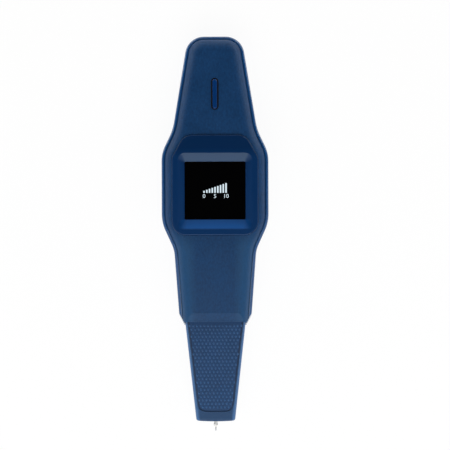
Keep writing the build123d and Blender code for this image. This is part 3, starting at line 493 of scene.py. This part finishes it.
plain_stuff("ceramic_white", screen_colour(248, 247, 243), 0.30, 0.02, 400, 0.004 * mm)
plain_stuff("connector_white", screen_colour(226, 222, 208), 0.48, 0.04, 260, 0.010 * mm)
plain_stuff("chips", screen_colour(26, 27, 30), 0.52, 0.12, 300, 0.012 * mm)
plain_stuff("panel", screen_colour(20, 22, 28), 0.26, 0.10, 200, 0.004 * mm)
plain_stuff("foam", screen_colour(40, 42, 46), 0.86, 0.12, 350, 0.050 * mm)
plain_stuff("ribbon", screen_colour(176, 108, 36), 0.34, 0.08, 240, 0.006 * mm)
plain_stuff("foot_rubber", screen_colour(26, 27, 30), 0.62, 0.10, 300, 0.015 * mm)
plain_stuff("tape", screen_colour(214, 206, 180), 0.60, 0.06, 220, 0.012 * mm)
plain_stuff("lead_sleeve", screen_colour(150, 28, 30), 0.50, 0.06, 320, 0.008 * mm)
print(len(finishes), "finishes made")

# %% [markdown]
# ## Dress the solids
#
# Every loaded solid already names its material slot, so one loop swaps each slot's plain
# material for the finish of the same name.

# %% Put the finishes on
for node in nodes.values():
    for holder in node.material_slots:
        holder.material = finishes[holder.material.name.split(".")[0]]
print("dressed", len(nodes), "solids")

# %% [markdown]
# ## The studs of the grip
#
# Both faces of the nose carry a rubber pad with rows of small oval studs, each row set half a
# step to the side of the last. Modelling hundreds by hand would be slow and hard to change, so
# Geometry Nodes lay rows of points over the pad, counted from the collar, and send a ray from each
# point on to it. Points that miss the pad, or land too near its border or past the first row, are
# dropped, and a stud is set where the others land.


# %% Help for geometry trees
def new_tree(name, sizes):
    """An empty geometry tree with named inputs. Sizes hold (name, socket type) pairs."""
    tree = bpy.data.node_groups.new(name, "GeometryNodeTree")
    tree.interface.new_socket("Geometry", in_out="INPUT", socket_type="NodeSocketGeometry")
    for label, kind in sizes:
        tree.interface.new_socket(label, in_out="INPUT", socket_type="NodeSocket" + kind)
    tree.interface.new_socket("Geometry", in_out="OUTPUT", socket_type="NodeSocketGeometry")
    entry = tree.nodes.new("NodeGroupInput")
    given = {label: Flow(tree, entry.outputs[label]) for label, kind in sizes}
    given["Geometry"] = Flow(tree, entry.outputs["Geometry"])
    return tree, Flow(tree), given


def close_tree(tree, shapes, given):
    """Ends a tree: make the instances real, give them their material, and join what came in."""
    flow = Flow(tree)
    real = flow.add("GeometryNodeRealizeInstances", None, {"Geometry": shapes})
    dressed = {"Geometry": real, "Material": given["Material"]}
    dressed = flow.add("GeometryNodeSetMaterial", None, dressed)
    joined = tree.nodes.new("GeometryNodeJoinGeometry")
    tree.links.new(dressed.socket, joined.inputs["Geometry"])
    tree.links.new(given["Geometry"].socket, joined.inputs["Geometry"])
    end = tree.nodes.new("NodeGroupOutput")
    tree.links.new(joined.outputs["Geometry"], end.inputs["Geometry"])


def give_modifier(piece, tree, sizes):
    """Adds a modifier that runs a tree, with its inputs set by their identifiers."""
    modifier = piece.modifiers.new(tree.name, "NODES")
    modifier.node_group = tree
    for item in tree.interface.items_tree:
        if item.in_out == "INPUT" and item.name in sizes:
            modifier[item.identifier] = sizes[item.name]


def new_piece(name, mesh=None):
    piece = bpy.data.objects.new(name, mesh or bpy.data.meshes.new(name))
    bpy.context.scene.collection.objects.link(piece)
    return piece


def settle(piece):
    """Turns the result of a piece's modifiers into its own plain mesh."""
    bpy.context.view_layer.update()
    evaluated = piece.evaluated_get(bpy.context.evaluated_depsgraph_get())
    mesh = bpy.data.meshes.new_from_object(evaluated)
    mesh.name = piece.name
    piece.modifiers.clear()
    piece.data = mesh


print("tree helpers ready")

# %% The tree that sets studs on a pad: rows of points
studs_tree, flow, given = new_tree(
    "studs_on_pad",
    [
        ("Pad", "Object"),
        ("Facing", "Float"),
        ("Step across", "Float"),
        ("Step along", "Float"),
        ("Stud size", "Vector"),
        ("Sink", "Float"),
        ("Border", "Float"),
        ("First Y", "Float"),
        ("Material", "Material"),
    ],
)
pad = flow.add("GeometryNodeObjectInfo", None, {"Object": given["Pad"]}, "Geometry")
low = flow.add("GeometryNodeBoundBox", None, {"Geometry": pad}, "Min")
high = flow.add("GeometryNodeBoundBox", None, {"Geometry": pad}, "Max")
middle_x = (low.part(0) + high.part(0)) * 0.5
columns = flow.maths("CEIL", (high.part(0) - low.part(0)) / given["Step across"]) * 2 + 1
lines = flow.maths("CEIL", (high.part(1) - low.part(1)) / given["Step along"]) * 2 + 1
grid = flow.add(
    "GeometryNodeMeshGrid",
    None,
    {
        "Size X": (columns - 1) * given["Step across"],
        "Size Y": (lines - 1) * given["Step along"],
        "Vertices X": columns,
        "Vertices Y": lines,
    },
)
place = flow.add("GeometryNodeInputPosition")
row = flow.maths("ROUND", place.part(1) / given["Step along"])
odd = flow.maths("FLOORED_MODULO", row, 2.0)
shift = flow.vector(middle_x + odd * given["Step across"] * 0.5, given["First Y"], 0.0)
laid = flow.add("GeometryNodeSetPosition", None, {"Geometry": grid, "Offset": shift})
print("rows of points laid")

# %% Rays from the points to the pad
ray_start = 0.1
ray_inputs = {
    "Target Geometry": pad,
    "Source Position": flow.vector(place.part(0), place.part(1), given["Facing"] * ray_start),
    "Ray Direction": flow.vector(0.0, 0.0, given["Facing"] * -1.0),
    "Ray Length": 2 * ray_start,
}
hit = flow.add("GeometryNodeRaycast", None, ray_inputs, "Is Hit")
landing = flow.add("GeometryNodeRaycast", None, ray_inputs, "Hit Position")
slope = flow.add("GeometryNodeRaycast", None, ray_inputs, "Hit Normal")
print("rays of", 2 * ray_start, "m sent")

# %% Points that are dropped, and those that land
upright = flow.maths("ABSOLUTE", flow.add("GeometryNodeInputNormal").part(2))
walls = flow.add(
    "GeometryNodeSeparateGeometry",
    {"domain": "FACE"},
    {"Geometry": pad, "Selection": upright.under(0.5)},
)
border_gap = flow.add(
    "GeometryNodeProximity",
    {"target_element": "FACES"},
    {0: walls, "Sample Position": landing},
    "Distance",
)
too_near = border_gap.under(given["Border"])
too_far = place.part(1).over(given["First Y"] + given["Step along"] * 0.5)
dropped = (1 - hit) + too_near + too_far
kept = flow.add(
    "GeometryNodeDeleteGeometry",
    {"domain": "POINT", "mode": "ALL"},
    {"Geometry": laid, "Selection": dropped.over(0.5)},
)
kept = flow.add("GeometryNodeSetPosition", None, {"Geometry": kept, "Position": landing})
print("points near the border are dropped")

# %% A stud on each point
ball = flow.add("GeometryNodeMeshUVSphere", None, {"Segments": 10, "Rings": 5, "Radius": 1.0})
ball = flow.add("GeometryNodeSetShadeSmooth", None, {"Geometry": ball})
down = flow.vector(0.0, 0.0, given["Sink"] * -1.0)
sunk_inputs = {"Geometry": ball, "Scale": given["Stud size"], "Translation": down}
sunk = flow.add("GeometryNodeTransform", None, sunk_inputs)
lean = flow.add("FunctionNodeAlignRotationToVector", {"axis": "Z"}, {"Vector": slope})
stud_inputs = {"Points": kept, "Instance": sunk, "Rotation": lean}
studs = flow.add("GeometryNodeInstanceOnPoints", None, stud_inputs)
close_tree(studs_tree, studs, given)
print("tree", studs_tree.name, "has", len(studs_tree.nodes), "nodes")

# %% Studs on the front and the rear pad
first_row_gap = 1.0 * mm
stud_sizes = {
    "Step across": 1.635 * mm,
    "Step along": 1.571 * mm,
    "Stud size": (0.45 * mm, 0.62 * mm, 0.36 * mm),
    "Sink": 0.06 * mm,
    "Border": 0.55 * mm,
    "First Y": collar_end - first_row_gap,
    "Material": finishes["stud_rubber"],
}
grip_studs = new_piece("grip_studs")
for pad_name, facing in (("grip_pad_front", 1.0), ("grip_pad_rear", -1.0)):
    pad_inputs = {"Pad": nodes[pad_name], "Facing": facing}
    give_modifier(grip_studs, studs_tree, {**stud_sizes, **pad_inputs})
settle(grip_studs)
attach(grip_studs, "nose")
print("studs:", len(grip_studs.data.polygons), "faces")

# %% [markdown]
# ## What the display shows
#
# A tester of this kind shows its reading as a row of bars that grow taller. The bars come from
# one small tree: points on a line, each with a box whose height follows its place in the row.
# They are as thin as ink on the dark window, and they glow a little, as a lit display does.

# %% Light of the display
glow = Finish("display_light", Base_Color=(0, 0, 0, 1), Roughness=0.4)
lit_white = screen_colour(222, 240, 250)
rows_of_dots = glow.ramp(glow.noise(6000, detail=1.0), 0.2, 0.8)
glow.feed("Emission Color", rows_of_dots.mixed(shade(lit_white, 0.94), lit_white))
glow.shader.inputs["Emission Strength"].default_value = 1.0
print("display light made")

# %% The tree that stands bars in a row
bars_tree, flow, given = new_tree(
    "bars_in_a_row",
    [
        ("Count", "Int"),
        ("Step", "Float"),
        ("Start", "Vector"),
        ("Width", "Float"),
        ("First length", "Float"),
        ("Last length", "Float"),
        ("Thickness", "Float"),
        ("Material", "Material"),
    ],
)
offset = flow.vector(given["Step"], 0.0, 0.0)
line_inputs = {"Count": given["Count"], "Start Location": given["Start"], "Offset": offset}
line = flow.add("GeometryNodeMeshLine", {"mode": "OFFSET"}, line_inputs)
index = flow.add("GeometryNodeInputIndex")
share = index / (given["Count"] - 1)
length = given["First length"] + share * (given["Last length"] - given["First length"])
one = flow.add("GeometryNodeMeshCube", None, {"Size": (1.0, 1.0, 1.0)})
one = flow.add("GeometryNodeTransform", None, {"Geometry": one, "Translation": (0.0, 0.5, 0.5)})
bar_size = flow.vector(given["Width"], length, given["Thickness"])
bar_inputs = {"Points": line, "Instance": one, "Scale": bar_size}
bars = flow.add("GeometryNodeInstanceOnPoints", None, bar_inputs)
close_tree(bars_tree, bars, given)
print("tree", bars_tree.name, "has", len(bars_tree.nodes), "nodes")

# %% The bar gauge
screen_x = (window_low.x + window_high.x) / 2
screen_y = (window_low.y + window_high.y) / 2
ink = 0.04 * mm
gauge_width = 10.9 * mm
gauge_height = 6.5 * mm
bar_count = 9
bar_width_share = 0.56
first_bar = 0.9 * mm
number_height = 1.75 * mm
number_gap = 0.5 * mm
bar_step = gauge_width / bar_count
bar_base = screen_y - gauge_height / 2 + number_height + number_gap

bar_sizes = {
    "Count": bar_count,
    "Step": bar_step,
    "Start": (screen_x - gauge_width / 2 + bar_step / 2, bar_base, window_high.z),
    "Width": bar_step * bar_width_share,
    "First length": first_bar,
    "Last length": gauge_height - number_height - number_gap,
    "Thickness": ink,
    "Material": finishes["display_light"],
}
display_marks = new_piece("display_marks")
give_modifier(display_marks, bars_tree, bar_sizes)
settle(display_marks)
print(bar_count, "bars, one every", round(bar_step / mm, 2), "mm")

# %% The numbers under the bars
figure_height_share = 0.7


def number_mesh(words, height, x, y, z):
    """Plain figures as a thin flat mesh, centred on (x, y)."""
    curve = bpy.data.curves.new("figures", "FONT")
    curve.body = words
    curve.size = height / figure_height_share
    curve.align_x = "CENTER"
    curve.extrude = ink / 2
    curve.resolution_u = 3
    writing = bpy.data.objects.new("figures", curve)
    bpy.context.scene.collection.objects.link(writing)
    bpy.context.view_layer.update()
    evaluated = writing.evaluated_get(bpy.context.evaluated_depsgraph_get())
    mesh = bpy.data.meshes.new_from_object(evaluated)
    mesh.transform(Matrix.Translation((x, y, z + ink / 2)))
    bpy.data.objects.remove(writing)
    return mesh


def join_meshes(piece, meshes, material):
    """Adds finished meshes to a piece's own mesh."""
    whole = bmesh.new()
    whole.from_mesh(piece.data)
    for mesh in meshes:
        whole.from_mesh(mesh)
    for face in whole.faces:
        face.material_index = 0
    whole.to_mesh(piece.data)
    whole.free()
    piece.data.materials.clear()
    piece.data.materials.append(material)


figures = []
for words, column in (("0", 0), ("5", (bar_count - 1) / 2), ("10", bar_count - 1)):
    x = screen_x - gauge_width / 2 + bar_step * (column + 0.5)
    figures.append(number_mesh(words, number_height, x, screen_y - gauge_height / 2, window_high.z))
join_meshes(display_marks, figures, finishes["display_light"])
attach(display_marks, "main")
print("display marks:", len(display_marks.data.polygons), "faces")

# %% [markdown]
# ## Light, floor and backdrop
#
# A ring of low soft lights draws pale lines along the rounded edges, brightest at the two corners
# of the head. Higher ones stand over the sides and the probe end, and one is nearly overhead. They
# could be one big light, but then every slope would have the same tone, and the photograph shows
# slopes that differ. The background is white because the floor itself is painted so, and the
# world is white to the camera only, not because more light falls on the tester.


# %% Soft lights
light_distance = 0.75
watts_by_area = 4
low_box = (0.61, 0.16)
middle_box = (0.57, 0.24)
high_box = (0.62, 0.29)
top_box = (0.56, 0.32)


def softbox(name, azimuth, elevation, size, brightness):
    """A soft light that faces the tester. Azimuth 0 is beyond the head end, 90 is to the right."""
    side = radians(azimuth)
    rise = radians(elevation)
    toward = Vector((sin(side) * cos(rise), cos(side) * cos(rise), sin(rise)))
    data = bpy.data.lights.new(name, "AREA")
    data.shape = "RECTANGLE"
    data.size, data.size_y = size
    data.energy = brightness * watts_by_area * size[0] * size[1]
    lamp = bpy.data.objects.new(name, data)
    lamp.location = toward * light_distance
    lamp.rotation_mode = "QUATERNION"
    lamp.rotation_quaternion = toward.to_track_quat("Z", "Y")
    lamp.visible_camera = False
    bpy.context.scene.collection.objects.link(lamp)


softbox("head_light", 0, 9, low_box, 2.00)
softbox("head_high_light", 0, 44, high_box, 0.40)
for side in (-1, 1):
    softbox("corner_light", side * 45, 9, low_box, 4.30)
    softbox("side_light", side * 90, 9, low_box, 1.10)
    softbox("side_high_light", side * 120, 44, high_box, 0.85)
    softbox("tail_corner_light", side * 135, 9, low_box, 0.95)
softbox("tail_light", 180, 24, middle_box, 0.88)
softbox("tail_high_light", 180, 44, high_box, 2.33)
softbox("overhead_light", 180, 68, top_box, 1.44)
print(len(bpy.data.lights), "soft lights,", light_distance, "m away")

# %% World: an almost dark room, white for the camera
overhead_glow = 0.01
pure_white = (1, 1, 1, 1)
world = bpy.data.worlds.new("studio")
bpy.context.scene.world = world
world.use_nodes = True
world.node_tree.nodes.clear()
flow = Flow(world.node_tree)
direction = flow.add("ShaderNodeTexCoord", output="Generated")
steepness = flow.maths("ABSOLUTE", direction.part(2))
room_light = overhead_glow * steepness
camera_ray = flow.add("ShaderNodeLightPath", output="Is Camera Ray")
room = flow.add("ShaderNodeBackground", None, {"Color": pure_white, "Strength": room_light})
white = flow.add("ShaderNodeBackground", None, {"Color": pure_white, "Strength": 1.0})
seen = flow.add("ShaderNodeMixShader", None, {0: camera_ray, 1: room, 2: white})
end = world.node_tree.nodes.new("ShaderNodeOutputWorld")
world.node_tree.links.new(seen.socket, end.inputs["Surface"])
print("room light", overhead_glow, "overhead, none at the horizon")

# %% Floor that looks white and keeps a faint shadow
reach = 3.0
floor_brightness = 0.93
plain_white = (0.8, 0.8, 0.8, 1)
shadow_grey = (0.10, 0.10, 0.10, 1)
floor_mesh = bpy.data.meshes.new("floor")
corners = [(x * reach, y * reach, cad_low.z) for x, y in ((-1, -1), (1, -1), (1, 1), (-1, 1))]
floor_mesh.from_pydata(corners, [], [(0, 1, 2, 3)])
floor = new_piece("floor", floor_mesh)

paint = bpy.data.materials.new("floor_paint")
paint.use_nodes = True
paint.node_tree.nodes.clear()
flow = Flow(paint.node_tree)
camera_ray = flow.add("ShaderNodeLightPath", output="Is Camera Ray")
glossy_ray = flow.add("ShaderNodeLightPath", output="Is Glossy Ray")
transmission_ray = flow.add("ShaderNodeLightPath", output="Is Transmission Ray")
shown = flow.maths("MINIMUM", camera_ray + glossy_ray + transmission_ray, 1.0)
white_paint = flow.add("ShaderNodeBsdfDiffuse", None, {"Color": plain_white})
shadow_paint = flow.add("ShaderNodeBsdfDiffuse", None, {"Color": shadow_grey})
lit = {"Color": pure_white, "Strength": floor_brightness}
own_light = flow.add("ShaderNodeEmission", None, lit)
bright_paint = flow.add("ShaderNodeAddShader", None, {0: shadow_paint, 1: own_light})
front_face = flow.add("ShaderNodeMixShader", None, {0: shown, 1: white_paint, 2: bright_paint})
clear = flow.add("ShaderNodeBsdfTransparent")
behind = flow.add("ShaderNodeNewGeometry", output="Backfacing") * camera_ray
floor_look = flow.add("ShaderNodeMixShader", None, {0: behind, 1: front_face, 2: clear})
end = paint.node_tree.nodes.new("ShaderNodeOutputMaterial")
paint.node_tree.links.new(floor_look.socket, end.inputs["Surface"])
floor_mesh.materials.append(paint)
print("floor at", round(cad_low.z / mm, 2), "mm")
